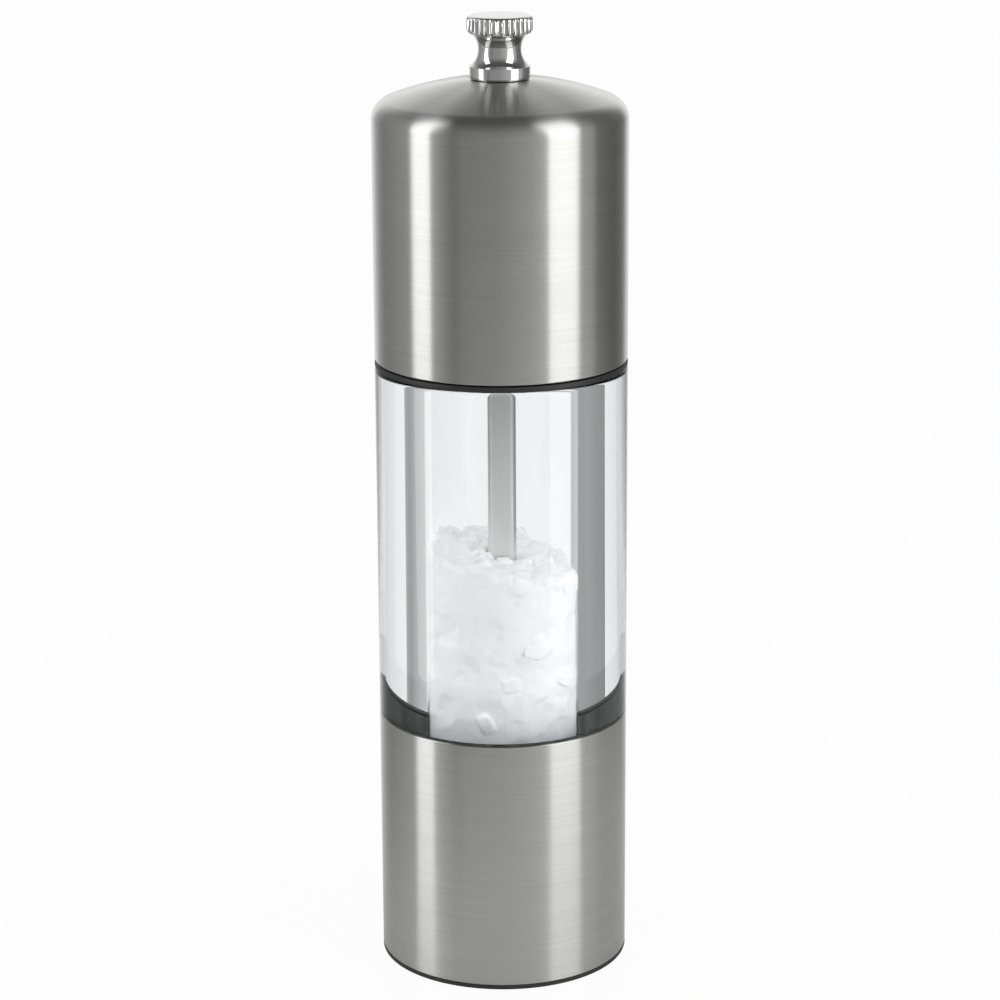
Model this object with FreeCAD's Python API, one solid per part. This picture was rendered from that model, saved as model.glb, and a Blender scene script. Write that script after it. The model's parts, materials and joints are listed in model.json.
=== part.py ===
"""Hand mill with a clear chamber: steel head, adjusting knob, acrylic chamber and burrs in a steel base.

Millimetres, +Z up. The origin is on the mill's axis, in the plane that its foot stands on.
"""

import FreeCAD, Part
import math
import os

# Outside
BODY_DIAMETER = 50.0
FOOT_HEIGHT = 0.9
FOOT_EDGE_RADIUS = 0.25
BASE_SHELL_HEIGHT = 50.7
CHAMBER_HEIGHT = 71.5
RING_HEIGHT = 1.15
RING_EDGE_RADIUS = 0.3
HEAD_GAP = 0.3
HEAD_SIDE_HEIGHT = 47.2
SHOULDER_RADIUS = 4.35
DOME_RADIUS = 62.6
KNOB_SEAT_DIAMETER = 14.0
SHELL_WALL = 0.7
SHELL_EDGE_RADIUS = 0.25

# Liner and carrier in the base
LINER_WALL = 1.9
LINER_LEDGE = 2.5
FUNNEL_WALL = 1.6
FOOT_WIDTH = 4.0
FOOT_RECESS = 2.6
PLUG_WALL = 1.8
CARRIER_WEB = 3.0
CARRIER_WALL = 1.8
CARRIER_LEDGE = 4.0
SCREW_POST_DIAMETER = 4.8
SCREW_POST_END = 1.6

# Chamber and salt, with the salt's level above the base
CHAMBER_BORE = 31.0
SPIGOT_DEPTH = 12.0
NECK_HEIGHT = 8.0
CHAMBER_EDGE_RADIUS = 0.8
CHAMBER_LOWER_CHAMFER = 0.35
NECK_EDGE_RADIUS = 0.5
SALT_LEVEL = 32.5
SALT_SLOPE = 11.0
SALT_GAP = 0.15
SALT_SHAFT_GAP = 0.7
SALT_LUMP_COUNT = 12
SALT_LUMP_RADIUS = 5.0
SALT_LUMP_RISE = 1.2
SALT_LUMP_ANGLE = 137.5
SALT_HOLLOW_COUNT = 11
SALT_HOLLOW_ROWS = 3
SALT_HOLLOW_PITCH = 8.3
SALT_HOLLOW_RADIUS = 8.0
SALT_HOLLOW_DEPTH = 0.7

# Burrs, whose walls are measured from the outer burr's outside
BURR_DIAMETER = 27.0
BURR_HEIGHT = 12.0
BURR_GRIND_HEIGHT = 4.4
BURR_OUTLET_WALL = 2.6
BURR_THROAT_WALL = 4.2
BURR_INLET_WALL = 2.3
BURR_GAP = 0.55
INNER_BURR_SETBACK = 2.6
INNER_BURR_WALL = 1.6
SPRING_POCKET_DEPTH = 2.5
OUTER_TOOTH_COUNT = 30
INNER_TOOTH_COUNT = 18
TOOTH_DEPTH = 0.7
TOOTH_TWIST = 14.0
PLATE_THICKNESS = 0.8

# Shaft, spider, bush and spring
SHAFT_WIDTH = 5.6
SHAFT_EDGE_RADIUS = 1.6
SHAFT_TOP_SETBACK = 3.0
THREAD_DIAMETER = 5.0
THREAD_END_GAP = 1.2
THREAD_CHAMFER = 0.6
SPIDER_THICKNESS = 2.5
SPIDER_RING_WIDTH = 2.9
SPIDER_ARM_WIDTH = 3.2
SPIDER_ARM_COUNT = 3
SPIDER_HUB_WALL = 2.0
BUSH_WALL = 1.6
BUSH_FLANGE_WIDTH = 1.6
BUSH_FLANGE_THICKNESS = 1.2
BUSH_LIP = 0.6
CLIP_THICKNESS = 0.6
CLIP_DEPTH = 0.6
CLIP_WIDTH = 2.0
CLIP_OPENING = 5.0
SPRING_WIRE = 0.8
SPRING_TURNS = 4.5
SPRING_ARC = 90.0
SPRING_SHAFT_GAP = 0.6
SPRING_POCKET_GAP = 0.3
WASHER_THICKNESS = 0.5
BURR_WASHER_OVERLAP = 0.9

# Screws
SCREW_COUNT = 3
SMALL_SCREW_DIAMETER = 1.6
SMALL_HEAD_DIAMETER = 2.8
SMALL_HEAD_HEIGHT = 0.9
PLATE_SCREW_GRIP = 5.0
SHAFT_SCREW_DIAMETER = 3.0
SHAFT_HEAD_DIAMETER = 5.4
SHAFT_HEAD_HEIGHT = 1.1
SHAFT_SCREW_GRIP = 8.0
SLOT_WIDTH = 0.5
SLOT_DEPTH = 0.45

# Collar and core in the head
COLLAR_WALL = 2.0
CORE_WEB = 2.0
CORE_WALL = 2.0
CORE_WALL_RISE = 18.0
CORE_HUB_WALL = 2.2
CORE_SOCKET_HEIGHT = 20.0
CORE_BORE_GAP = 0.3
RIB_COUNT = 6
RIB_THICKNESS = 1.6

# Knob
KNOB_FLANGE_DIAMETER = 11.9
KNOB_FLANGE_HEIGHT = 2.4
KNOB_FLANGE_CHAMFER = 0.2
KNOB_WAIST_DIAMETER = 8.4
KNOB_WAIST_ARC = 3.75
KNOB_GRIP_DIAMETER = 12.8
KNOB_GRIP_HEIGHT = 2.6
KNOB_GRIP_BEVEL = 0.6
KNOB_TOP_CHAMFER = 0.8
KNOB_CROWN = 2.6
KNURL_COUNT = 36
KNURL_DEPTH = 0.3
KNURL_CUTTER_RADIUS = 0.6
KNOB_WASHER_DIAMETER = 11.2
KNOB_WASHER_THICKNESS = 0.12

# Fits
PRESS_GAP = 0.05
SQUARE_GAP = 0.05
THREAD_GAP = 0.05
RUNNING_GAP = 0.05
SEAT_GAP = 0.03
FACE_GAP = 0.15
NECK_GAP = 0.2
PART_GAP = 0.4

# Radii that follow from the sizes above
BODY_R = BODY_DIAMETER / 2
SHELL_IN_R = BODY_R - SHELL_WALL
LINING_R = SHELL_IN_R - PRESS_GAP
LINER_IN_R = LINING_R - LINER_WALL
SPIGOT_R = LINER_IN_R - PRESS_GAP
PLUG_IN_R = SPIGOT_R - PLUG_WALL
FOOT_IN_R = BODY_R - FOOT_WIDTH
BORE_R = CHAMBER_BORE / 2
COLLAR_IN_R = LINING_R - COLLAR_WALL
NECK_R = COLLAR_IN_R - NECK_GAP
BURR_R = BURR_DIAMETER / 2
OUTLET_R = BURR_R - BURR_OUTLET_WALL
THROAT_R = BURR_R - BURR_THROAT_WALL
INLET_R = BURR_R - BURR_INLET_WALL
POCKET_R = BURR_R + PRESS_GAP
CARRIER_TUBE_R = POCKET_R + CARRIER_WALL
MOUTH_R = CARRIER_TUBE_R - SPIDER_RING_WIDTH
PLATE_R = FOOT_IN_R - PRESS_GAP
PLATE_SCREW_R = (CARRIER_TUBE_R + PLATE_R) / 2
SPIDER_SCREW_R = (CARRIER_TUBE_R + MOUTH_R) / 2
SCREW_HOLE_R = SMALL_SCREW_DIAMETER / 2 + PRESS_GAP
SHAFT_HOLE_R = SHAFT_SCREW_DIAMETER / 2 + PRESS_GAP
SHAFT_CORNER_R = (SHAFT_WIDTH / 2 - SHAFT_EDGE_RADIUS) * math.sqrt(2) + SHAFT_EDGE_RADIUS
SOCKET_CORNER_R = SHAFT_CORNER_R + SQUARE_GAP
BUSH_R = SOCKET_CORNER_R + BUSH_WALL
HUB_BORE_R = BUSH_R + RUNNING_GAP
HUB_R = HUB_BORE_R + SPIDER_HUB_WALL
GROOVE_R = BUSH_R - CLIP_DEPTH
SPRING_IN_R = SHAFT_CORNER_R + SPRING_SHAFT_GAP
SPRING_R = SPRING_IN_R + SPRING_WIRE / 2
SPRING_OUT_R = SPRING_IN_R + SPRING_WIRE
SPRING_POCKET_R = SPRING_OUT_R + SPRING_POCKET_GAP
INNER_BURR_TOP_R = SPRING_POCKET_R + INNER_BURR_WALL
THREAD_R = THREAD_DIAMETER / 2
THREAD_HOLE_R = THREAD_R + PART_GAP
CORE_BORE_R = SOCKET_CORNER_R + CORE_BORE_GAP
CORE_HUB_R = CORE_BORE_R + CORE_HUB_WALL
KNOB_FLANGE_R = KNOB_FLANGE_DIAMETER / 2
KNOB_WAIST_R = KNOB_WAIST_DIAMETER / 2
KNOB_GRIP_R = KNOB_GRIP_DIAMETER / 2

# Heights that follow, from the foot up
PLATE_Z = FOOT_RECESS - PLATE_THICKNESS
WEB_TOP_Z = FOOT_RECESS + CARRIER_WEB
THROAT_Z = FOOT_RECESS + BURR_GRIND_HEIGHT
BURR_TOP_Z = FOOT_RECESS + BURR_HEIGHT
BURR_WASHER_Z = FOOT_RECESS - WASHER_THICKNESS
INNER_BURR_TOP_Z = BURR_TOP_Z - INNER_BURR_SETBACK
SPRING_POCKET_Z = INNER_BURR_TOP_Z - SPRING_POCKET_DEPTH
SPIDER_Z = BURR_TOP_Z + CARRIER_LEDGE
SPIDER_TOP_Z = SPIDER_Z + SPIDER_THICKNESS
BUSH_FLANGE_TOP_Z = SPIDER_Z - FACE_GAP
BUSH_Z = BUSH_FLANGE_TOP_Z - BUSH_FLANGE_THICKNESS
SPRING_WASHER_Z = BUSH_Z - WASHER_THICKNESS
CLIP_Z = SPIDER_TOP_Z + FACE_GAP
CLIP_TOP_Z = CLIP_Z + CLIP_THICKNESS
BUSH_TOP_Z = CLIP_TOP_Z + BUSH_LIP
FUNNEL_Z = SPIDER_TOP_Z + SMALL_HEAD_HEIGHT + PART_GAP
SALT_Z = max(BUSH_TOP_Z, FUNNEL_Z) + PART_GAP
BASE_TOP_Z = FOOT_HEIGHT + BASE_SHELL_HEIGHT
SALT_TOP_Z = BASE_TOP_Z + SALT_LEVEL
SPIGOT_Z = BASE_TOP_Z - SPIGOT_DEPTH
LEDGE_Z = SPIGOT_Z - LINER_LEDGE
SHOULDER_Z = BASE_TOP_Z + CHAMBER_HEIGHT
NECK_TOP_Z = SHOULDER_Z + NECK_HEIGHT
RING_TOP_Z = SHOULDER_Z + RING_HEIGHT
HEAD_Z = RING_TOP_Z + HEAD_GAP
HEAD_SIDE_TOP_Z = HEAD_Z + HEAD_SIDE_HEIGHT
COLLAR_Z = RING_TOP_Z + FACE_GAP
CORE_Z = NECK_TOP_Z + PART_GAP
CORE_WEB_TOP_Z = CORE_Z + CORE_WEB
CORE_WALL_TOP_Z = CORE_WEB_TOP_Z + CORE_WALL_RISE
SOCKET_TOP_Z = CORE_Z + CORE_SOCKET_HEIGHT

# The dome's centre lies where the dome and the shoulder arc are tangent
SHOULDER_CENTRE_R = BODY_R - SHOULDER_RADIUS
DOME_ANGLE = math.asin(SHOULDER_CENTRE_R / (DOME_RADIUS - SHOULDER_RADIUS))
DOME_CENTRE_Z = HEAD_SIDE_TOP_Z - (DOME_RADIUS - SHOULDER_RADIUS) * math.cos(DOME_ANGLE)
KNOB_SEAT_Z = DOME_CENTRE_Z + math.sqrt(DOME_RADIUS**2 - (KNOB_SEAT_DIAMETER / 2) ** 2)
CORE_HUB_TOP_Z = KNOB_SEAT_Z - SHELL_WALL - PRESS_GAP
SQUARE_TOP_Z = CORE_HUB_TOP_Z - SHAFT_TOP_SETBACK

# The knob's waist is an arc between two circles of the flange's size
KNOB_WASHER_TOP_Z = KNOB_SEAT_Z + KNOB_WASHER_THICKNESS
KNOB_Z = KNOB_WASHER_TOP_Z + SEAT_GAP
KNOB_FLANGE_TOP_Z = KNOB_Z + KNOB_FLANGE_HEIGHT
WAIST_CENTRE_R = KNOB_WAIST_R + KNOB_WAIST_ARC
WAIST_HALF = math.sqrt(KNOB_WAIST_ARC**2 - (WAIST_CENTRE_R - KNOB_FLANGE_R) ** 2)
WAIST_Z = KNOB_FLANGE_TOP_Z + WAIST_HALF
KNOB_GRIP_Z = WAIST_Z + WAIST_HALF
KNOB_GRIP_TOP_Z = KNOB_GRIP_Z + KNOB_GRIP_HEIGHT
KNOB_TOP_Z = KNOB_GRIP_TOP_Z + KNOB_TOP_CHAMFER
KNOB_BORE_TOP_Z = KNOB_TOP_Z - KNOB_CROWN
THREAD_TOP_Z = KNOB_BORE_TOP_Z - THREAD_END_GAP

ORIGIN = FreeCAD.Vector(0, 0, 0)
UP = FreeCAD.Vector(0, 0, 1)
ACROSS = FreeCAD.Vector(1, 0, 0)
AWAY = FreeCAD.Vector(0, 1, 0)


def point(radius, height):
    return FreeCAD.Vector(radius, 0, height)


def polar(radius, height, degrees):
    angle = math.radians(degrees)
    return FreeCAD.Vector(radius * math.cos(angle), radius * math.sin(angle), height)


def line(start, end):
    return Part.LineSegment(start, end).toShape()


def arc(start, middle, end):
    return Part.Arc(start, middle, end).toShape()


def turned(edges):
    """Solid of a closed outline turned about the axis."""
    return Part.Face(Part.Wire(edges)).revolve(ORIGIN, UP, 360)


def lathe(*corners):
    """Solid turned from corners of radius and height, where a third value rounds the corner."""
    starts = []
    ends = []
    rounds = []
    for index, (radius, height, *rounding) in enumerate(corners):
        here = point(radius, height)
        size = rounding[0] if rounding else 0
        back = (point(*corners[index - 1][:2]) - here).normalize()
        ahead = (point(*corners[(index + 1) % len(corners)][:2]) - here).normalize()
        half = back.getAngle(ahead) / 2
        starts.append(here + back * (size / math.tan(half)))
        ends.append(here + ahead * (size / math.tan(half)))
        middle = here + (back + ahead).normalize() * (size / math.sin(half) - size) if size else here
        rounds.append(arc(starts[-1], middle, ends[-1]) if size else None)
    edges = []
    for index, rounded in enumerate(rounds):
        edges.append(line(ends[index - 1], starts[index]))
        if rounded:
            edges.append(rounded)
    return turned(edges)


def ring(inner, outer, bottom, top):
    return lathe((inner, bottom), (outer, bottom), (outer, top), (inner, top))


def rod(radius, bottom, top):
    return Part.makeCylinder(radius, top - bottom, point(0, bottom))


def square_bar(gap, bottom, top):
    """Square bar on the axis with rounded edges, wider than the shaft by a gap all round."""
    half = SHAFT_WIDTH / 2 + gap
    bar = Part.makeBox(2 * half, 2 * half, top - bottom, FreeCAD.Vector(-half, -half, bottom))
    uprights = [edge for edge in bar.Edges if edge.BoundBox.ZLength > PART_GAP]
    return bar.makeFillet(SHAFT_EDGE_RADIUS + gap, uprights)


def spread(shape, count, radius=0.0):
    """Copies of a shape set out at a radius and spaced evenly about the axis."""
    copies = []
    for index in range(count):
        copy = shape.copy()
        copy.translate(ACROSS * radius)
        copies.append(copy.rotate(ORIGIN, UP, 360 * index / count))
    return copies


def cone_radius(low, high, height):
    """Radius at a height on the straight line through two points of radius and height."""
    share = (height - low[1]) / (high[1] - low[1])
    return low[0] + share * (high[0] - low[0])


def tooth_gap(outline, bottom, top, depth, count):
    """V-shaped gap between two teeth, along an outline of three points and past both of its ends."""
    low, throat, high = outline
    half = 360 / count / 2
    sections = []
    for height, cone in ((bottom, (low, throat)), (throat[1], (low, throat)), (top, (throat, high))):
        radius = cone_radius(*cone, height)
        angle = TOOTH_TWIST * (height - throat[1]) / (top - bottom)
        root = polar(radius + depth, height, angle)
        left = polar(radius - depth / 2, height, angle - half)
        right = polar(radius - depth / 2, height, angle + half)
        sections.append(Part.makePolygon([root, left, right, root]))
    return Part.makeLoft(sections, True, True)


def screw(diameter, head_diameter, head_height, length):
    """Slotted screw with the seat of its head at the origin and its shank below."""
    shank = rod(diameter / 2, -length, 0)
    head = rod(head_diameter / 2, 0, head_height)
    corner = FreeCAD.Vector(-head_diameter / 2, -SLOT_WIDTH / 2, head_height - SLOT_DEPTH)
    slot = Part.makeBox(head_diameter, SLOT_WIDTH, SLOT_DEPTH, corner)
    return shank.fuse(head).cut(slot)


def biarc(start, start_way, end, end_way):
    """Two tangent arcs between two points with given directions."""
    chord = end - start
    ways = start_way + end_way
    bend = 2 * (1 - start_way.dot(end_way))
    along = chord.dot(ways)
    reach = (math.sqrt(along**2 + bend * chord.dot(chord)) - along) / bend
    first = start + start_way * reach
    second = end - end_way * reach
    joint = (first + second) * 0.5
    return [tangent_arc(start, first, joint), tangent_arc(joint, second, end)]


def tangent_arc(start, corner, end):
    """Arc that touches the two lines from a corner to its ends, which are equally long."""
    middle = (start + end) * 0.5
    half = start.distanceToPoint(end) / 2
    rise = corner - middle
    sag = half * math.tan(math.atan2(rise.Length, half) / 2)
    return arc(start, middle + rise.normalize() * sag, end)


def head_surface(depth):
    """Points of the head's crown, at a depth below its outside, from its side to the knob's seat."""
    shoulder = SHOULDER_RADIUS - depth
    dome = DOME_RADIUS - depth
    seat_z = KNOB_SEAT_Z - depth
    seat_angle = math.acos((seat_z - DOME_CENTRE_Z) / dome)
    turn = (DOME_ANGLE + math.pi / 2) / 2
    middle = (DOME_ANGLE + seat_angle) / 2
    centre_r = SHOULDER_CENTRE_R
    return (
        point(centre_r + shoulder, HEAD_SIDE_TOP_Z),
        point(centre_r + shoulder * math.sin(turn), HEAD_SIDE_TOP_Z + shoulder * math.cos(turn)),
        point(dome * math.sin(DOME_ANGLE), DOME_CENTRE_Z + dome * math.cos(DOME_ANGLE)),
        point(dome * math.sin(middle), DOME_CENTRE_Z + dome * math.cos(middle)),
        point(dome * math.sin(seat_angle), seat_z),
    )


def base_shell():
    return lathe(
        (SHELL_IN_R, FOOT_HEIGHT),
        (BODY_R, FOOT_HEIGHT, SHELL_EDGE_RADIUS),
        (BODY_R, BASE_TOP_Z, SHELL_EDGE_RADIUS),
        (SHELL_IN_R, BASE_TOP_Z),
    )


def base_liner():
    return lathe(
        (LINER_IN_R, FOOT_HEIGHT),
        (LINING_R, FOOT_HEIGHT),
        (LINING_R, BASE_TOP_Z),
        (LINER_IN_R, BASE_TOP_Z),
        (LINER_IN_R, SPIGOT_Z),
        (BORE_R, SPIGOT_Z),
        (MOUTH_R, FUNNEL_Z),
        (MOUTH_R + FUNNEL_WALL, FUNNEL_Z),
        (BORE_R + FUNNEL_WALL, LEDGE_Z),
        (LINER_IN_R, LEDGE_Z),
    )


def burr_carrier():
    body = lathe(
        (FOOT_IN_R, 0),
        (BODY_R, 0, FOOT_EDGE_RADIUS),
        (BODY_R, FOOT_HEIGHT),
        (SPIGOT_R, FOOT_HEIGHT),
        (SPIGOT_R, SPIDER_Z),
        (PLUG_IN_R, SPIDER_Z),
        (PLUG_IN_R, WEB_TOP_Z),
        (CARRIER_TUBE_R, WEB_TOP_Z),
        (CARRIER_TUBE_R, SPIDER_Z),
        (MOUTH_R, SPIDER_Z),
        (INLET_R, BURR_TOP_Z),
        (POCKET_R, BURR_TOP_Z),
        (POCKET_R, FOOT_RECESS),
        (FOOT_IN_R, FOOT_RECESS),
    )
    hole_top = FOOT_RECESS + PLATE_SCREW_GRIP + PART_GAP
    post = rod(SCREW_POST_DIAMETER / 2, FOOT_RECESS, hole_top + SCREW_POST_END)
    plate_hole = rod(SCREW_HOLE_R, FOOT_RECESS, hole_top)
    spider_hole = rod(SCREW_HOLE_R, BURR_TOP_Z + PART_GAP, SPIDER_Z)
    posts = spread(post, SCREW_COUNT, PLATE_SCREW_R)
    plate_holes = spread(plate_hole, SCREW_COUNT, PLATE_SCREW_R)
    spider_holes = spread(spider_hole, SCREW_COUNT, SPIDER_SCREW_R)
    pocket = rod(POCKET_R, FOOT_RECESS, BURR_TOP_Z)
    return body.fuse(posts).cut([pocket] + plate_holes + spider_holes).removeSplitter()


def chamber():
    return lathe(
        (BORE_R, SPIGOT_Z),
        (SPIGOT_R, SPIGOT_Z),
        (SPIGOT_R, BASE_TOP_Z),
        (BODY_R - CHAMBER_LOWER_CHAMFER, BASE_TOP_Z),
        (BODY_R, BASE_TOP_Z + CHAMBER_LOWER_CHAMFER),
        (BODY_R, SHOULDER_Z, CHAMBER_EDGE_RADIUS),
        (NECK_R, SHOULDER_Z),
        (NECK_R, NECK_TOP_Z, NECK_EDGE_RADIUS),
        (BORE_R, NECK_TOP_Z, NECK_EDGE_RADIUS),
    )


def salt_charge():
    """Salt up to a sloping, lumpy top, with hollows at the wall and room for the shaft to turn."""
    hole_r = SHAFT_CORNER_R + SALT_SHAFT_GAP
    wall_r = BORE_R - SALT_GAP
    funnel_r = cone_radius((MOUTH_R, FUNNEL_Z), (BORE_R, SPIGOT_Z), SALT_Z)
    room = lathe(
        (hole_r, SALT_Z),
        (funnel_r - SALT_GAP, SALT_Z),
        (wall_r, SPIGOT_Z),
        (wall_r, SHOULDER_Z),
        (hole_r, SHOULDER_Z),
    )
    span = 2 * CHAMBER_HEIGHT + CHAMBER_BORE
    above = Part.makeBox(span, span, span, FreeCAD.Vector(-span / 2, -span / 2, SALT_TOP_Z))
    heap = room.cut(above.rotate(point(0, SALT_TOP_Z), AWAY, SALT_SLOPE))
    return heap.fuse(salt_lumps(hole_r, wall_r)).common(room).cut(salt_hollows(wall_r))


def salt_lumps(hole_r, wall_r):
    """Balls that rise a little out of the salt's sloping top, spread evenly over it."""
    lumps = []
    for index in range(SALT_LUMP_COUNT):
        radius = hole_r + (wall_r - hole_r) * math.sqrt((index + 0.5) / SALT_LUMP_COUNT)
        centre = polar(radius, SALT_TOP_Z + SALT_LUMP_RISE - SALT_LUMP_RADIUS, index * SALT_LUMP_ANGLE)
        centre.z -= centre.x * math.tan(math.radians(SALT_SLOPE))
        lumps.append(Part.makeSphere(SALT_LUMP_RADIUS, centre))
    return lumps


def salt_hollows(wall_r):
    """Balls that dent the salt where it lies against the chamber, in staggered rows."""
    reach = wall_r + SALT_HOLLOW_RADIUS - SALT_HOLLOW_DEPTH
    hollows = []
    for row in range(SALT_HOLLOW_ROWS):
        height = BASE_TOP_Z + SALT_HOLLOW_PITCH * (row + 0.5)
        turn = 180 / SALT_HOLLOW_COUNT * (row % 2)
        ball = Part.makeSphere(SALT_HOLLOW_RADIUS, point(0, height))
        hollows += [copy.rotate(ORIGIN, UP, turn) for copy in spread(ball, SALT_HOLLOW_COUNT, reach)]
    return hollows


def neck_ring():
    return lathe(
        (NECK_R + PRESS_GAP, SHOULDER_Z),
        (BODY_R, SHOULDER_Z, RING_EDGE_RADIUS),
        (BODY_R, RING_TOP_Z, RING_EDGE_RADIUS),
        (NECK_R + PRESS_GAP, RING_TOP_Z),
    )


def outer_burr():
    outline = ((OUTLET_R, FOOT_RECESS), (THROAT_R, THROAT_Z), (INLET_R, BURR_TOP_Z))
    body = lathe(*outline, (BURR_R, BURR_TOP_Z), (BURR_R, FOOT_RECESS))
    bottom = FOOT_RECESS - PART_GAP
    top = BURR_TOP_Z + PART_GAP
    gap = tooth_gap(outline, bottom, top, TOOTH_DEPTH, OUTER_TOOTH_COUNT)
    return body.cut(spread(gap, OUTER_TOOTH_COUNT))


def inner_burr():
    low = (OUTLET_R - BURR_GAP, FOOT_RECESS)
    throat = (THROAT_R - BURR_GAP, THROAT_Z)
    high = (INNER_BURR_TOP_R, INNER_BURR_TOP_Z)
    body = lathe((0, FOOT_RECESS), low, throat, high, (0, INNER_BURR_TOP_Z))
    pocket = rod(SPRING_POCKET_R, SPRING_POCKET_Z, INNER_BURR_TOP_Z)
    socket = square_bar(SQUARE_GAP, FOOT_RECESS, INNER_BURR_TOP_Z)
    bottom = FOOT_RECESS - PART_GAP
    top = INNER_BURR_TOP_Z + PART_GAP
    gap = tooth_gap((low, throat, high), bottom, top, -TOOTH_DEPTH, INNER_TOOTH_COUNT)
    return body.cut([pocket, socket] + spread(gap, INNER_TOOTH_COUNT))


def burr_plate():
    plate = ring(OUTLET_R + PART_GAP, PLATE_R, PLATE_Z, FOOT_RECESS)
    return plate.cut(spread(rod(SCREW_HOLE_R, PLATE_Z, FOOT_RECESS), SCREW_COUNT, PLATE_SCREW_R))


def plate_screws():
    length = PLATE_THICKNESS + PLATE_SCREW_GRIP
    one = screw(SMALL_SCREW_DIAMETER, SMALL_HEAD_DIAMETER, SMALL_HEAD_HEIGHT, length)
    one.rotate(ORIGIN, ACROSS, 180)
    one.translate(UP * PLATE_Z)
    return Part.makeCompound(spread(one, SCREW_COUNT, PLATE_SCREW_R))


def shaft_spider():
    rim = ring(MOUTH_R, CARRIER_TUBE_R, SPIDER_Z, SPIDER_TOP_Z)
    hub = rod(HUB_R, SPIDER_Z, SPIDER_TOP_Z)
    reach = (MOUTH_R + CARRIER_TUBE_R) / 2
    corner = FreeCAD.Vector(0, -SPIDER_ARM_WIDTH / 2, SPIDER_Z)
    arm = Part.makeBox(reach, SPIDER_ARM_WIDTH, SPIDER_THICKNESS, corner)
    bore = rod(HUB_BORE_R, SPIDER_Z, SPIDER_TOP_Z)
    holes = spread(rod(SCREW_HOLE_R, SPIDER_Z, SPIDER_TOP_Z), SCREW_COUNT, SPIDER_SCREW_R)
    arms = spread(arm, SPIDER_ARM_COUNT)
    return rim.fuse([hub] + arms).cut([bore] + holes).removeSplitter()


def spider_screws():
    length = SPIDER_THICKNESS + CARRIER_LEDGE - 2 * PART_GAP
    one = screw(SMALL_SCREW_DIAMETER, SMALL_HEAD_DIAMETER, SMALL_HEAD_HEIGHT, length)
    one.translate(UP * SPIDER_TOP_Z)
    return Part.makeCompound(spread(one, SCREW_COUNT, SPIDER_SCREW_R))


def drive_bush():
    flange_r = BUSH_R + BUSH_FLANGE_WIDTH
    body = lathe(
        (0, BUSH_Z),
        (flange_r, BUSH_Z),
        (flange_r, BUSH_FLANGE_TOP_Z),
        (BUSH_R, BUSH_FLANGE_TOP_Z),
        (BUSH_R, CLIP_Z - SEAT_GAP),
        (GROOVE_R, CLIP_Z - SEAT_GAP),
        (GROOVE_R, CLIP_TOP_Z + SEAT_GAP),
        (BUSH_R, CLIP_TOP_Z + SEAT_GAP),
        (BUSH_R, BUSH_TOP_Z),
        (0, BUSH_TOP_Z),
    )
    return body.cut(square_bar(SQUARE_GAP, BUSH_Z, BUSH_TOP_Z))


def bush_clip():
    clip_r = GROOVE_R + SEAT_GAP
    clip = ring(clip_r, clip_r + CLIP_WIDTH, CLIP_Z, CLIP_TOP_Z)
    corner = FreeCAD.Vector(0, -CLIP_OPENING / 2, CLIP_Z)
    return clip.cut(Part.makeBox(clip_r + CLIP_WIDTH, CLIP_OPENING, CLIP_THICKNESS, corner))


def spring_washer():
    return ring(SHAFT_CORNER_R + FACE_GAP, SPRING_OUT_R + FACE_GAP, SPRING_WASHER_Z, BUSH_Z)


def burr_spring():
    """Coil spring between the inner burr's pocket and the washer under the bush."""
    bottom = SPRING_POCKET_Z + SPRING_WIRE / 2 + SEAT_GAP
    top = SPRING_WASHER_Z - SPRING_WIRE / 2 - SEAT_GAP
    rise = (top - bottom) / SPRING_TURNS / 360
    places = []
    ways = []
    for index in range(round(SPRING_TURNS * 360 / SPRING_ARC) + 1):
        degrees = index * SPRING_ARC
        places.append(polar(SPRING_R, bottom + rise * degrees, degrees))
        ways.append(polar(SPRING_R, math.degrees(rise), degrees + 90).normalize())
    edges = []
    for index in range(len(places) - 1):
        edges += biarc(places[index], ways[index], places[index + 1], ways[index + 1])
    section = Part.Wire(Part.makeCircle(SPRING_WIRE / 2, places[0], ways[0]))
    return Part.Wire(edges).makePipeShell([section], True, False)


def drive_shaft():
    """Square bar with its upper end turned down to a round thread and a screw hole in its lower end."""
    bottom = FOOT_RECESS + SEAT_GAP
    bar = square_bar(0, bottom, SQUARE_TOP_Z)
    thread = lathe(
        (0, SQUARE_TOP_Z),
        (THREAD_R, SQUARE_TOP_Z),
        (THREAD_R, THREAD_TOP_Z - THREAD_CHAMFER),
        (THREAD_R - THREAD_CHAMFER, THREAD_TOP_Z),
        (0, THREAD_TOP_Z),
    )
    hole = rod(SHAFT_HOLE_R, bottom, FOOT_RECESS + SHAFT_SCREW_GRIP + PART_GAP)
    return bar.fuse(thread).cut(hole)


def burr_washer():
    return ring(SHAFT_HOLE_R, SOCKET_CORNER_R + BURR_WASHER_OVERLAP, BURR_WASHER_Z, FOOT_RECESS)


def shaft_screw():
    length = WASHER_THICKNESS + SHAFT_SCREW_GRIP
    one = screw(SHAFT_SCREW_DIAMETER, SHAFT_HEAD_DIAMETER, SHAFT_HEAD_HEIGHT, length)
    one.rotate(ORIGIN, ACROSS, 180)
    one.translate(UP * BURR_WASHER_Z)
    return one


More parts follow.
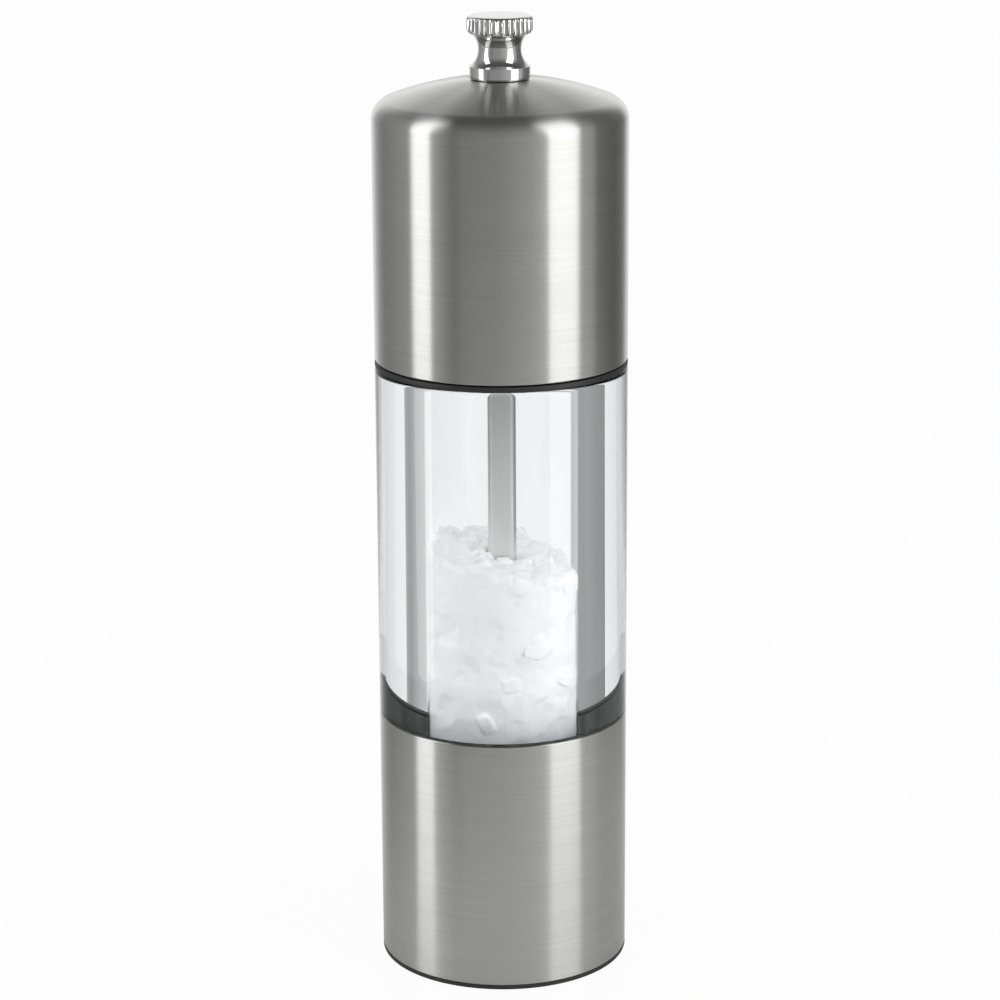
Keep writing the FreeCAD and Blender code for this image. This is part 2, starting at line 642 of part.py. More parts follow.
def head_shell():
    edge = SHELL_EDGE_RADIUS
    side, shoulder, crown, dome, seat = head_surface(0)
    in_side, in_shoulder, in_crown, in_dome, in_seat = head_surface(SHELL_WALL)
    foot = point(SHELL_IN_R, HEAD_Z)
    rim = point(BODY_R - edge, HEAD_Z)
    rim_round = point(BODY_R - edge + edge / math.sqrt(2), HEAD_Z + edge - edge / math.sqrt(2))
    rim_top = point(BODY_R, HEAD_Z + edge)
    hole = point(THREAD_HOLE_R, KNOB_SEAT_Z)
    in_hole = point(THREAD_HOLE_R, KNOB_SEAT_Z - SHELL_WALL)
    return turned(
        [
            line(foot, rim),
            arc(rim, rim_round, rim_top),
            line(rim_top, side),
            arc(side, shoulder, crown),
            arc(crown, dome, seat),
            line(seat, hole),
            line(hole, in_hole),
            line(in_hole, in_seat),
            arc(in_seat, in_dome, in_crown),
            arc(in_crown, in_shoulder, in_side),
            line(in_side, foot),
        ]
    )


def head_collar():
    """Ring inside the head's lower edge, which turns on the chamber's neck."""
    return ring(COLLAR_IN_R, LINING_R, COLLAR_Z, CORE_Z)


def head_core():
    """Web over the chamber, with a ribbed hub that the shaft's square drives in."""
    wall_in_r = LINING_R - CORE_WALL
    body = lathe(
        (0, CORE_Z),
        (LINING_R, CORE_Z),
        (LINING_R, CORE_WALL_TOP_Z),
        (wall_in_r, CORE_WALL_TOP_Z),
        (wall_in_r, CORE_WEB_TOP_Z),
        (CORE_HUB_R, CORE_WEB_TOP_Z),
        (CORE_HUB_R, CORE_HUB_TOP_Z),
        (CORE_BORE_R, CORE_HUB_TOP_Z),
        (CORE_BORE_R, SOCKET_TOP_Z),
        (0, SOCKET_TOP_Z),
    )
    start = (CORE_BORE_R + CORE_HUB_R) / 2
    end = (wall_in_r + LINING_R) / 2
    corner = FreeCAD.Vector(start, -RIB_THICKNESS / 2, (CORE_Z + CORE_WEB_TOP_Z) / 2)
    rib = Part.makeBox(end - start, RIB_THICKNESS, CORE_WALL_TOP_Z - corner.z, corner)
    socket = square_bar(SQUARE_GAP, CORE_Z, SOCKET_TOP_Z)
    return body.fuse(spread(rib, RIB_COUNT)).cut(socket).removeSplitter()


def knob_washer():
    return ring(THREAD_HOLE_R, KNOB_WASHER_DIAMETER / 2, KNOB_SEAT_Z, KNOB_WASHER_TOP_Z)


def knob():
    """Blind nut with a round flange, a waist and a grip with a straight knurl."""
    edge = KNOB_FLANGE_CHAMFER
    bore = point(THREAD_R + THREAD_GAP, KNOB_Z)
    bore_top = point(THREAD_R + THREAD_GAP, KNOB_BORE_TOP_Z)
    flange = point(KNOB_FLANGE_R - edge, KNOB_Z)
    flange_edge = point(KNOB_FLANGE_R, KNOB_Z + edge)
    waist_low = point(KNOB_FLANGE_R, KNOB_FLANGE_TOP_Z)
    waist = point(KNOB_WAIST_R, WAIST_Z)
    waist_high = point(KNOB_FLANGE_R, KNOB_GRIP_Z)
    grip = point(KNOB_GRIP_R, KNOB_GRIP_Z + KNOB_GRIP_BEVEL)
    grip_top = point(KNOB_GRIP_R, KNOB_GRIP_TOP_Z)
    rim = point(KNOB_GRIP_R - KNOB_TOP_CHAMFER, KNOB_TOP_Z)
    crown = point(0, KNOB_TOP_Z)
    bore_end = point(0, KNOB_BORE_TOP_Z)
    body = turned(
        [
            line(bore, flange),
            line(flange, flange_edge),
            line(flange_edge, waist_low),
            arc(waist_low, waist, waist_high),
            line(waist_high, grip),
            line(grip, grip_top),
            line(grip_top, rim),
            line(rim, crown),
            line(crown, bore_end),
            line(bore_end, bore_top),
            line(bore_top, bore),
        ]
    )
    cutter = rod(KNURL_CUTTER_RADIUS, KNOB_GRIP_Z, KNOB_TOP_Z)
    cutter_r = KNOB_GRIP_R + KNURL_CUTTER_RADIUS - KNURL_DEPTH
    return body.cut(spread(cutter, KNURL_COUNT, cutter_r))


PIECES = (
    base_shell,
    base_liner,
    burr_carrier,
    chamber,
    salt_charge,
    neck_ring,
    outer_burr,
    inner_burr,
    burr_plate,
    plate_screws,
    shaft_spider,
    spider_screws,
    drive_bush,
    bush_clip,
    spring_washer,
    burr_spring,
    drive_shaft,
    burr_washer,
    shaft_screw,
    head_shell,
    head_collar,
    head_core,
    knob_washer,
    knob,
)

os.makedirs("parts", exist_ok=True)
for piece in PIECES:
    shape = piece()
    shape.exportStep("parts/" + piece.__name__ + ".step")
    print(piece.__name__, "solids", len(shape.Solids), "valid", shape.isValid())
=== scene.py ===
"""Looks of a hand mill with a clear chamber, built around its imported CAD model.

Metres, +Z up, in the CAD model's frame: the mill's axis is Z and its foot stands on z = 0.
"""

import json
import math

import bmesh
import bpy
from mathutils import Matrix, Vector


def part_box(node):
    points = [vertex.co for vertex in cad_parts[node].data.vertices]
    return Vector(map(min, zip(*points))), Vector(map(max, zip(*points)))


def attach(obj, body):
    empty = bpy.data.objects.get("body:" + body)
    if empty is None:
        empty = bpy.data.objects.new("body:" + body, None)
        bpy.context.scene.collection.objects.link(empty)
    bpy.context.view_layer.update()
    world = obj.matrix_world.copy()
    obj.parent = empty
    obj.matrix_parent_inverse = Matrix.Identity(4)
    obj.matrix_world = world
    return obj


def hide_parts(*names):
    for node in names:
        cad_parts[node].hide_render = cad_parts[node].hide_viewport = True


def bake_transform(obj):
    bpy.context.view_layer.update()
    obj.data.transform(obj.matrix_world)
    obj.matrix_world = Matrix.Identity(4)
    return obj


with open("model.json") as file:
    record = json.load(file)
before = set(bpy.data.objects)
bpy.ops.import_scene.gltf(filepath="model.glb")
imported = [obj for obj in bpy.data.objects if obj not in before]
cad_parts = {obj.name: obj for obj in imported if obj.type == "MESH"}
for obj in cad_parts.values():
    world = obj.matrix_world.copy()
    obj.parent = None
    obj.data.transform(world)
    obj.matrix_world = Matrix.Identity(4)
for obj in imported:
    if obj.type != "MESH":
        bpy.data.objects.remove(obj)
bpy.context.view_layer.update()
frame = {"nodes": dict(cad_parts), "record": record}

MM = 0.001
WHITE = (1.0, 1.0, 1.0, 1.0)

# Levels and radii that the CAD nodes give
BODY_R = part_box("base_shell")[1].x
BASE_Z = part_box("base_shell")[0].z
BASE_TOP_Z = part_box("base_shell")[1].z
SPIGOT_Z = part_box("chamber")[0].z
NECK_TOP_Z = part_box("chamber")[1].z
RING_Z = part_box("neck_ring")[0].z
RING_TOP_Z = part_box("neck_ring")[1].z
HEAD_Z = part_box("head_shell")[0].z
SEAT_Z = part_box("head_shell")[1].z
KNOB_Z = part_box("knob")[0].z
KNOB_TOP_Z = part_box("knob")[1].z
GRIP_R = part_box("knob")[1].x
SALT_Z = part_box("salt_charge")[0].z
SALT_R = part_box("salt_charge")[1].x
SHAFT_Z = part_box("drive_shaft")[0].z
SHAFT_TOP_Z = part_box("drive_shaft")[1].z

# Sizes inside the nodes' boxes
SHELL_WALL = 0.7 * MM
SHELL_EDGE = 0.25 * MM
HEAD_SIDE_HEIGHT = 47.2 * MM
SHOULDER_R = 4.35 * MM
DOME_R = 62.6 * MM
SEAT_R = 7.0 * MM
HEAD_HOLE_R = 2.9 * MM
BORE_R = 15.5 * MM
SPIGOT_R = 22.3 * MM
NECK_R = 22.05 * MM
CHAMBER_EDGE = 0.8 * MM
CHAMBER_LOWER_EDGE = 0.45 * MM
NECK_EDGE = 0.5 * MM
RING_EDGE = 0.3 * MM
FLANGE_R = 5.95 * MM
FLANGE_HEIGHT = 2.4 * MM
FLANGE_EDGE = 0.25 * MM
WAIST_R = 4.2 * MM
WAIST_ARC = 3.75 * MM
GRIP_BEVEL = 0.6 * MM
GRIP_EDGE = 0.95 * MM
KNOB_BORE_R = 2.55 * MM
KNOB_BORE_DEPTH = 9.5 * MM
KNURL_COUNT = 36
KNURL_DEPTH = 0.3 * MM
SHAFT_WIDTH = 5.6 * MM
SHAFT_EDGE = 1.6 * MM
THREAD_R = 2.5 * MM
THREAD_LENGTH = 12.2 * MM
THREAD_PITCH = 0.8 * MM
THREAD_DEPTH = 0.4 * MM
THREAD_END = 0.6 * MM
SPRING_WIRE = 0.8 * MM
SPRING_TURNS = 4.5

# Salt: its sloping top with lumps, and the hollows at its wall
SALT_LEVEL = 84.1 * MM
SALT_SLOPE = math.tan(math.radians(11))
SALT_HOLE_R = 4.0 * MM
FUNNEL_R = 12.0 * MM
LUMP_COUNT = 12
LUMP_R = 5.0 * MM
LUMP_RISE = 1.2 * MM
LUMP_ANGLE = math.radians(137.5)
HOLLOW_COUNT = 11
HOLLOW_ROWS = 3
HOLLOW_PITCH = 8.3 * MM
HOLLOW_R = 8.0 * MM
HOLLOW_DEPTH = 0.7 * MM
CORE_SETBACK = 0.25 * MM
TOP_SETBACK = 1.0 * MM
SHAFT_ROOM_R = 3.4 * MM
# Heights over which the shaft's colour darkens into painted shade towards the head
PAINTED_SHADE_SPAN = (SALT_LEVEL + 8 * MM, RING_TOP_Z)

# Salt's rough skin: noise per metre, its depth, how softly the bore presses it, and its voxels
LUMP_NOISE = 300.0
LUMP_ROUGHNESS = 1.3 * MM
GRAIN_NOISE = 800.0
GRAIN_ROUGHNESS = 0.8 * MM
NOISE_MIDDLE = (0.5, 0.5, 0.5)
SALT_PRESS = 1.5 * MM
SALT_VOXEL = 0.3 * MM
SALT_BAND = 1.0 * MM
SKIN_DENSITY = 0.1

# Crystals on the salt's top: a unit lump between a cube and a ball, strewn at random
CRYSTAL_SIZE = 3.0 * MM
CRYSTAL_GAP = 1.4 * MM
CRYSTAL_SHARES = (0.55, 1.25)
CRYSTAL_POINTS = 4
CRYSTAL_BALL_R = 0.62
CRYSTAL_ROUNDNESS = 0.4
CRYSTAL_DENSITY = 2.0e6
TOP_FACING = 0.3
PLACE_SEED = 7
SPIN_SEED = 11
SIZE_SEED = 23

# Faces around the axis and on arcs, and the angle past which an edge is sharp
AROUND = 192
ARC_STEPS = 8
EDGE_STEPS = 8
SHOULDER_STEPS = 24
DOME_STEPS = 48
INNER_SHOULDER_STEPS = 12
INNER_DOME_STEPS = 24
WAIST_STEPS = 20
KNURL_STEPS = 10
CORE_AROUND = 132
CORE_WALL_STEPS = 40
CORE_TOP_STEPS = 14
THREAD_AROUND = 48
THREAD_STEPS = 10
SPRING_STEPS = 32
WIRE_AROUND = 14
SHARP_ANGLE = math.radians(32)
SOFT_ANGLE = math.radians(75)
CLEARANCE = 0.05 * MM
TINY = 1e-9

# Camera
CAMERA_PLACE = (-0.4 * MM, -628.2 * MM, 272.88 * MM)
CAMERA_PITCH = math.radians(15.81)
CAMERA_ROLL = math.radians(-0.3)
LENS = 117.55
SENSOR = 36.0

# Studio: grey levels by degrees to the viewer's right of the camera's side
WALLS = (
    (-180, 0.95), (-160, 0.95), (-146, 0.45), (-131, 0.26), (-92, 0.42), (-62, 0.38), (-45, 0.22),
    (-40, 0.22), (-37, 0.28), (0, 0.31), (36, 0.48), (80, 0.48), (92, 0.44), (95, 0.22), (123, 0.14),
    (143, 0.2), (153, 0.65), (160, 0.95), (180, 0.95),
)
CEILING = (0.085, 0.085, 0.085, 1.0)
CEILING_EDGE = (0.4, 0.92)

# What shows through the clear chamber: past its bore, through the bore, and in the bar inside.
# Light on its way through the bore crosses four faces of the acrylic.
BORE_CROSSINGS = 4
PAST_BORE = (
    (-180, 0.91), (-150, 0.92), (-138, 0.84), (-120, 0.79), (-100, 0.77), (100, 0.82), (118, 0.88),
    (140, 0.92), (180, 0.91),
)
ACRYLIC_TINT = (0.973, 1.0, 1.011)
THROUGH_BORE = ((-180, 0.97), (-112, 0.95), (112, 0.32), (147, 0.32), (148.5, 0.95), (180, 0.97))
INSIDE = (
    (-180, 0.95), (-95, 0.5), (-84, 1.0), (-66, 1.0), (-55, 0.6), (0, 0.68), (40, 0.68), (48, 1.0),
    (72, 1.0), (80, 0.6), (115, 0.25), (150, 0.38), (180, 0.95),
)

# Light on matt surfaces, and on the salt inside the chamber
FILL = (
    (-180, 0.85), (-90, 0.95), (-50, 0.75), (0, 0.75), (40, 1.0), (75, 1.25), (110, 1.0), (180, 0.85),
)
CHAMBER_FILL = (
    (-180, 1.2), (-125, 1.3), (-90, 2.3), (-62, 3.0), (-40, 0.05), (-2, 0.05), (18, 2.4), (45, 2.6),
    (70, 1.5), (110, 1.1), (180, 1.2),
)
CHAMBER_TOP = (3.0, 3.0, 3.0, 1.0)
CHAMBER_TOP_EDGE = (0.15, 0.8)

# Glowing grey sheets beside the chamber, seen only through it: painted shade for the darker bands in the
# chamber's sides, with grey levels by place from front to back
BAND_SHEET_X = 30 * MM
BAND_SHEET_LOW_Z = 30 * MM
BAND_SHEET_HIGH_Z = 135 * MM
LEFT_PAINTED_BANDS = (
    (-6 * MM, 0.55), (-1.5 * MM, 0.48), (3.5 * MM, 0.36), (6 * MM, 0.31), (8.5 * MM, 0.32), (13 * MM, 0.43),
)
RIGHT_PAINTED_BANDS = ((-7 * MM, 0.36), (5 * MM, 0.29), (14 * MM, 0.27), (36 * MM, 0.24))

# Softboxes: degrees to the viewer's right, degrees up, distance, width, height and brightness
LEFT_SOFTBOX = (-75, 18, 0.9, 0.345, 1.4, 1.75)
RIGHT_SOFTBOX = (58, 18, 0.9, 0.52, 1.4, 1.65)
TOP_SOFTBOX = (0, 80, 1.1, 0.9, 0.9, 0.8)
LAMP_AIM_Z = 0.1

# Floor, which the steel mirrors only around a centre, from wholly to not at all
FLOOR_Z = -0.1 * MM
FLOOR_R = 6.0
FLOOR_GLOW = 0.95
MIRRORED_FLOOR_CENTRE = (0.08, -0.05, 0.0)
MIRRORED_FLOOR = (0.1, 0.28)


class Value:
    """A node's output, on which arithmetic adds Math nodes."""

    def __init__(self, graph, node, output):
        self.graph = graph
        self.node = node
        self.socket = node.outputs[output]

    def out(self, output):
        return Value(self.graph, self.node, output)

    def __add__(self, other):
        return self.graph.maths("ADD", self, other)

    def __radd__(self, other):
        return self.graph.maths("ADD", other, self)

    def __sub__(self, other):
        return self.graph.maths("SUBTRACT", self, other)

    def __rsub__(self, other):
        return self.graph.maths("SUBTRACT", other, self)

    def __mul__(self, other):
        return self.graph.maths("MULTIPLY", self, other)

    def __rmul__(self, other):
        return self.graph.maths("MULTIPLY", other, self)

    def __truediv__(self, other):
        return self.graph.maths("DIVIDE", self, other)

    def __rtruediv__(self, other):
        return self.graph.maths("DIVIDE", other, self)

    def __neg__(self):
        return self.graph.maths("MULTIPLY", self, -1.0)


class Graph:
    """A node tree that is filled by expressions."""

    def __init__(self, tree):
        self.tree = tree

    def node(self, kind, settings=None, inputs=None, output=0):
        """A new node: its settings first, then its sockets' values or links."""
        made = self.tree.nodes.new(kind)
        for name, value in (settings or {}).items():
            if name == "stops":
                self.set_stops(made.color_ramp, value)
            else:
                setattr(made, name, value)
        for name, value in (inputs or {}).items():
            if isinstance(value, Value):
                self.tree.links.new(value.socket, made.inputs[name])
            else:
                made.inputs[name].default_value = value
        return Value(self, made, output) if made.outputs else made

    def set_stops(self, ramp, stops):
        """Fills a colour ramp from (place, grey) pairs in rising order."""
        while len(ramp.elements) < len(stops):
            ramp.elements.new(1.0)
        for element, (place, grey) in zip(ramp.elements, stops):
            element.position = place
            element.color = (grey, grey, grey, 1.0)

    def maths(self, operation, *values):
        return self.node("ShaderNodeMath", {"operation": operation}, dict(enumerate(values)))

    def vector(self, operation, *values):
        return self.node("ShaderNodeVectorMath", {"operation": operation}, dict(enumerate(values)))

    def scaled(self, vector, factor):
        inputs = {"Vector": vector, "Scale": factor}
        return self.node("ShaderNodeVectorMath", {"operation": "SCALE"}, inputs)

    def split(self, vector):
        parts = self.node("ShaderNodeSeparateXYZ", inputs={0: vector})
        return parts.out("X"), parts.out("Y"), parts.out("Z")

    def joined(self, x, y, z):
        return self.node("ShaderNodeCombineXYZ", inputs={"X": x, "Y": y, "Z": z})

    def mix(self, factor, first, second):
        """Colour between two colours."""
        inputs = {0: factor, 6: first, 7: second}
        return self.node("ShaderNodeMix", {"data_type": "RGBA"}, inputs, output=2)

    def mixed_surface(self, factor, first, second):
        """Shader between two shaders."""
        return self.node("ShaderNodeMixShader", inputs={0: factor, 1: first, 2: second})

    def bounced(self, path, kind, times=1):
        """1 for light that has met surfaces of a kind at least so many times, else 0."""
        return self.maths("GREATER_THAN", path.out(kind + " Depth"), times - 0.5)

    def step(self, value, low, high):
        """Smooth step from 0 at the low value to 1 at the high one."""
        inputs = {"Value": value, "From Min": low, "From Max": high}
        return self.node("ShaderNodeMapRange", {"interpolation_type": "SMOOTHSTEP"}, inputs)

    def noise(self, vector, scale, detail=2.0, roughness=0.5):
        inputs = {"Vector": vector, "Scale": scale, "Detail": detail, "Roughness": roughness}
        return self.node("ShaderNodeTexNoise", inputs=inputs)

    def place(self):
        return self.node("ShaderNodeTexCoord", output="Object")

    def bump(self, height, strength, distance):
        inputs = {"Height": height, "Strength": strength, "Distance": distance}
        return self.node("ShaderNodeBump", inputs=inputs)


class Finish(Graph):
    """A material made of one Principled surface."""

    def __init__(self, name):
        self.material = bpy.data.materials.new(name)
        self.material.use_nodes = True
        super().__init__(self.material.node_tree)
        self.tree.nodes.clear()

    def surface(self, **sockets):
        inputs = {name.replace("_", " "): value for name, value in sockets.items()}
        shader = self.node("ShaderNodeBsdfPrincipled", inputs=inputs)
        self.node("ShaderNodeOutputMaterial", inputs={"Surface": shader})
        return self.material


def brushed_steel():
    """Steel brushed around the axis, also over the dome, with lines of uneven length."""
    finish = Finish("brushed_steel")
    x, y, z = finish.split(finish.place())
    ray = finish.joined(x, y, 0.0)
    radius = finish.vector("LENGTH", ray).out("Value")
    along = finish.joined(0.0, 0.0, z - radius)
    around = finish.vector("NORMALIZE", ray)

    def lines(per_turn, per_metre):
        return finish.vector("ADD", finish.scaled(around, per_turn), finish.scaled(along, per_metre))

    long_grain = finish.noise(lines(1.0, 2200.0), 1.0, 0.0)
    short_grain = finish.noise(lines(3.0, 3600.0), 1.0, 0.0)
    tone = finish.noise(lines(0.6, 240.0), 1.0)
    grain = long_grain * 0.6 + short_grain * 0.4
    shade = finish.step(grain * 0.7 + tone * 0.3, 0.3, 0.7)
    return finish.surface(
        Base_Color=finish.mix(shade, (0.572, 0.572, 0.547, 1.0), (0.618, 0.618, 0.593, 1.0)),
        Metallic=1.0,
        Roughness=grain * 0.008 + tone * 0.012 + 0.275,
        Anisotropic=1.0,
        Anisotropic_Rotation=0.25,
        Normal=finish.bump(long_grain, 0.012, 0.02 * MM),
    )


def knob_chrome():
    """Polished chrome with a faint film and a little wear in fine random specks."""
    finish = Finish("knob_chrome")
    place = finish.place()
    film = finish.noise(place, 420.0, 3.0, 0.6)
    specks = finish.step(finish.noise(place, 2600.0, 2.0), 0.62, 0.78)
    return finish.surface(
        Base_Color=finish.mix(film, (0.72, 0.72, 0.72, 1.0), (0.82, 0.82, 0.81, 1.0)),
        Metallic=1.0,
        Roughness=film * 0.05 + specks * 0.06 + 0.04,
        Normal=finish.bump(film, 0.04, 0.01 * MM),
    )


def clear_acrylic():
    """Polished clear acrylic with a breath of haze from handling."""
    finish = Finish("clear_acrylic")
    haze = finish.noise(finish.place(), 160.0, 3.0, 0.6)
    return finish.surface(
        Base_Color=finish.mix(haze, (0.955, 0.975, 0.985, 1.0), (0.975, 0.99, 0.995, 1.0)),
        Roughness=finish.step(haze, 0.45, 0.8) * 0.012,
        IOR=1.49,
        Transmission_Weight=1.0,
    )


def glue_joint():
    """Black cement that bonds the chamber into its socket, as it shows through the acrylic."""
    finish = Finish("glue_joint")
    x, y, z = finish.split(finish.place())
    smear = finish.noise(finish.joined(x * 700.0, y * 700.0, z * 40.0), 1.0, 3.0, 0.6)
    thin = finish.step(smear, 0.35, 0.75)
    return finish.surface(
        Base_Color=finish.mix(thin, (0.045, 0.058, 0.05, 1.0), (0.2, 0.22, 0.2, 1.0)),
        Roughness=smear * 0.3 + 0.4,
    )


def black_plastic():
    """Satin black moulding with a fine spark texture."""
    finish = Finish("black_plastic")
    place = finish.place()
    texture = finish.noise(place, 5200.0, 2.0, 0.6)
    patches = finish.noise(place, 90.0, 2.0)
    return finish.surface(
        Base_Color=finish.mix(patches, (0.014, 0.014, 0.014, 1.0), (0.026, 0.026, 0.027, 1.0)),
        Roughness=patches * 0.12 + texture * 0.1 + 0.34,
        Normal=finish.bump(texture, 0.15, 0.02 * MM),
    )


def salt():
    """White crystals, slightly cool, with cloudy and clearer patches."""
    finish = Finish("salt")
    place = finish.place()
    cloud = finish.noise(place, 380.0, 3.0, 0.6)
    grain = finish.noise(place, 2400.0, 2.0, 0.6)
    return finish.surface(
        Base_Color=finish.mix(cloud, (0.92, 0.935, 0.95, 1.0), (0.97, 0.975, 0.98, 1.0)),
        Roughness=cloud * 0.3 + 0.3,
        Subsurface_Weight=0.55,
        Subsurface_Radius=(1.0, 1.0, 1.0),
        Subsurface_Scale=1.2 * MM,
        Normal=finish.bump(grain, 0.15, 0.05 * MM),
    )


def burr_ceramic():
    """Unglazed off-white ceramic with fine specks."""
    finish = Finish("burr_ceramic")
    place = finish.place()
    body = finish.noise(place, 240.0, 3.0, 0.6)
    specks = finish.step(finish.noise(place, 3200.0, 2.0), 0.64, 0.72)
    pale = finish.mix(body, (0.74, 0.71, 0.64, 1.0), (0.84, 0.82, 0.77, 1.0))
    return finish.surface(
        Base_Color=finish.mix(specks * 0.5, pale, (0.5, 0.46, 0.4, 1.0)),
        Roughness=body * 0.2 + 0.5,
        Normal=finish.bump(specks + body, 0.2, 0.03 * MM),
    )


def plated_steel():
    """Zinc-plated steel with the plating's soft mottle."""
    finish = Finish("plated_steel")
    mottle = finish.noise(finish.place(), 700.0, 3.0, 0.65)
    return finish.surface(
        Base_Color=finish.mix(mottle, (0.48, 0.49, 0.5, 1.0), (0.62, 0.62, 0.61, 1.0)),
        Metallic=1.0,
        Roughness=mottle * 0.2 + 0.24,
        Normal=finish.bump(mottle, 0.1, 0.02 * MM),
    )


def pale_nylon():
    """Natural moulded nylon, a little mottled."""
    finish = Finish("pale_nylon")
    place = finish.place()
    cloud = finish.noise(place, 180.0, 3.0, 0.6)
    texture = finish.noise(place, 4200.0, 2.0)
    return finish.surface(
        Base_Color=finish.mix(cloud, (0.7, 0.68, 0.61, 1.0), (0.8, 0.79, 0.74, 1.0)),
        Roughness=cloud * 0.15 + 0.4,
        Normal=finish.bump(texture, 0.12, 0.02 * MM),
    )


def shaft_aluminium():
    """Drawn aluminium bar with faint die lines along it, with painted shade that darkens it from above the
    salt up towards the head.
    """
    finish = Finish("shaft_aluminium")
    x, y, z = finish.split(finish.place())
    lines = finish.noise(finish.joined(x * 5200.0, y * 5200.0, z * 60.0), 1.0, 2.0, 0.6)
    cloud = finish.noise(finish.joined(x * 400.0, y * 400.0, z * 90.0), 1.0, 2.0)
    lit_bar = finish.mix(lines, (0.78, 0.78, 0.76, 1.0), (0.9, 0.9, 0.875, 1.0))
    shaded_bar = finish.mix(lines, (0.5, 0.5, 0.485, 1.0), (0.59, 0.59, 0.575, 1.0))
    return finish.surface(
        # Lit and shaded copies of the bar: painted shade, darker towards the head
        Base_Color=finish.mix(finish.step(z, *PAINTED_SHADE_SPAN), lit_bar, shaded_bar),
        Metallic=1.0,
        Roughness=cloud * 0.1 + lines * 0.1 + 0.3,
        Normal=finish.bump(lines, 0.1, 0.02 * MM),
    )


def rounded(*corners):
    """Outline of (radius, height) points, where a corner's third value rounds it."""
    points = []
    for index, (radius, height, *rounding) in enumerate(corners):
        here = Vector((radius, height))
        if not rounding:
            points.append(here)
            continue
        size = rounding[0]
        back = (Vector(corners[index - 1][:2]) - here).normalized()
        ahead = (Vector(corners[(index + 1) % len(corners)][:2]) - here).normalized()
        half = back.angle(ahead) / 2
        centre = here + (back + ahead).normalized() * (size / math.sin(half))
        start = here + back * (size / math.tan(half))
        end = here + ahead * (size / math.tan(half))
        for step in range(ARC_STEPS + 1):
            way = start.lerp(end, step / ARC_STEPS) - centre
            points.append(centre + way.normalized() * size)
    return points


def arc(centre, radius, start, end, steps):
    """Outline points on an arc; angles are from the axis, in radians."""
    points = []
    for step in range(steps + 1):
        angle = start + (end - start) * step / steps
        points.append(centre + Vector((math.sin(angle), math.cos(angle))) * radius)
    return points


def even_angles(count):
    return [2 * math.pi * index / count for index in range(count)]


def circle(radius, height, count):
    """Ring of points about the axis, or one point where the radius is nothing."""
    if radius == 0:
        return [Vector((0, 0, height))]
    ways = [(math.cos(angle), math.sin(angle)) for angle in even_angles(count)]
    return [Vector((radius * x, radius * y, height)) for x, y in ways]


def skinned(name, rings, material, closed):
    """Closed object over rings of points, where a ring of one point is a pole."""
    shape = bmesh.new()
    made = [[shape.verts.new(place) for place in ring] for ring in rings]
    pairs = list(zip(made, made[1:]))
    if closed:
        pairs.append((made[-1], made[0]))
    for low, high in pairs:
        count = max(len(low), len(high))
        for index in range(count):
            after = index + 1
            corners = (
                low[index % len(low)],
                low[after % len(low)],
                high[after % len(high)],
                high[index % len(high)],
            )
            shape.faces.new(tuple(dict.fromkeys(corners)))
    bmesh.ops.recalc_face_normals(shape, faces=shape.faces)
    mesh = bpy.data.meshes.new(name)
    shape.to_mesh(mesh)
    shape.free()
    mesh.materials.append(material)
    piece = bpy.data.objects.new(name, mesh)
    bpy.context.scene.collection.objects.link(piece)
    smooth(piece)
    return piece


def smooth(piece, angle=SHARP_ANGLE):
    piece.data.shade_smooth()
    piece.data.set_sharp_from_angle(angle=angle)


def lathe(name, outline, material, closed=True, count=AROUND):
    """Closed object turned from an outline of (radius, height) points."""
    return skinned(name, [circle(*point, count) for point in outline], material, closed)


def install(piece, body, slot, *nodes):
    """Sets a finished piece on its body, in place of the CAD nodes that it stands for."""
    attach(piece, body)
    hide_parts(*nodes)


def geometry_tree(name, *sizes):
    """New geometry node tree with a geometry input and named number inputs."""
    tree = bpy.data.node_groups.new(name, "GeometryNodeTree")
    tree.interface.new_socket("Geometry", in_out="INPUT", socket_type="NodeSocketGeometry")
    tree.interface.new_socket("Geometry", in_out="OUTPUT", socket_type="NodeSocketGeometry")
    for size in sizes:
        tree.interface.new_socket(size, in_out="INPUT", socket_type="NodeSocketFloat")
    return Graph(tree)


def finished_tree(graph, geometry, material):
    """Ends a geometry tree in plain geometry of one material."""
    real = graph.node("GeometryNodeRealizeInstances", inputs={"Geometry": geometry})
    inputs = {"Geometry": real, "Material": material}
    painted = graph.node("GeometryNodeSetMaterial", inputs=inputs)
    graph.node("NodeGroupOutput", inputs={"Geometry": painted})
    return graph


def shaped(piece, graph, **sizes):
    """Runs a geometry node tree on a piece and keeps the result as its plain mesh."""
    modifier = piece.modifiers.new("shape", "NODES")
    modifier.node_group = graph.tree
    for item in graph.tree.interface.items_tree:
        if item.in_out == "INPUT" and item.name in sizes:
            modifier[item.identifier] = float(sizes[item.name])
    evaluated = piece.evaluated_get(bpy.context.evaluated_depsgraph_get())
    mesh = bpy.data.meshes.new_from_object(evaluated)
    piece.modifiers.remove(modifier)
    piece.data = mesh
    smooth(piece)


def at_radius(graph, geometry, place, wanted):
    """Geometry whose points keep their angle and height and take a wanted radius."""
    x, y, z = graph.split(place)
    share = wanted / graph.maths("MAXIMUM", axis_distance(graph, place), TINY)
    inputs = {"Geometry": geometry, "Position": graph.joined(x * share, y * share, z)}
    return graph.node("GeometryNodeSetPosition", inputs=inputs)


def axis_distance(graph, place):
    x, y = graph.split(place)[:2]
    return graph.vector("LENGTH", graph.joined(x, y, 0.0)).out("Value")


def axis_angle(graph, place):
    x, y = graph.split(place)[:2]
    return graph.maths("ARCTAN2", y, x)


